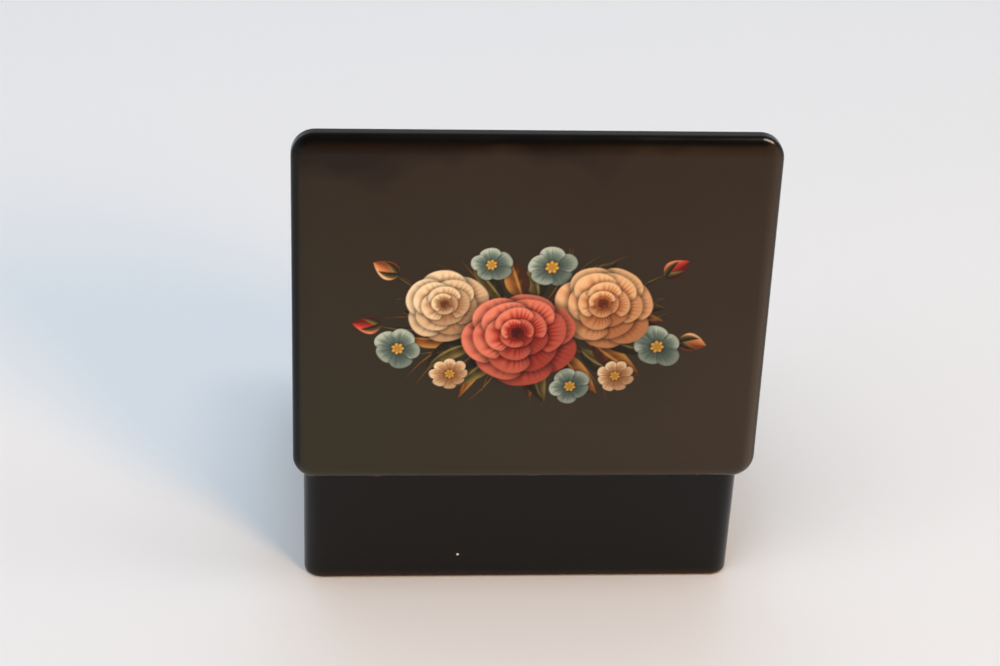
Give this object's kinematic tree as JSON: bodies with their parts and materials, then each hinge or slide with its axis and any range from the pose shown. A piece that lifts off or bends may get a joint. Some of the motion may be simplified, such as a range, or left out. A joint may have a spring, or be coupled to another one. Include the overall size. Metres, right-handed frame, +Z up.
{
  "type": "lacquer box",
  "caption": "Rectangular papier-mache lacquer box with rounded edges, red inside, and an overhanging painted lid that swings open on brass butt hinges.",
  "frame": {"origin": "on the table, under the middle of the box", "axes": "+Z up, +X across the width, +Y from the front to the hinges at the back"},
  "size_m": [0.1, 0.081, 0.1101],
  "materials": {
    "black_lacquer": "gloss",
    "red_lacquer": "gloss",
    "brass": "satin"
  },
  "bodies": {
    "body": {"wall_tube": "black_lacquer", "base_board": "red_lacquer", "left_body_leaf": "brass", "right_body_leaf": "brass", "left_hinge_pin": "brass", "right_hinge_pin": "brass", "body_leaf_nails": "brass"},
    "lid": {"lid_board": "black_lacquer", "lid_insert": "red_lacquer", "left_lid_leaf": "brass", "right_lid_leaf": "brass", "lid_leaf_nails": "brass"}
  },
  "joints": [
    {"name": "lid_hinge", "type": "hinge", "parent": "body", "child": "lid", "pos_m": [0, 0.038, 0.0321], "axis": [-1, 0, 0], "range_deg": [-86, 11]}
  ]
}
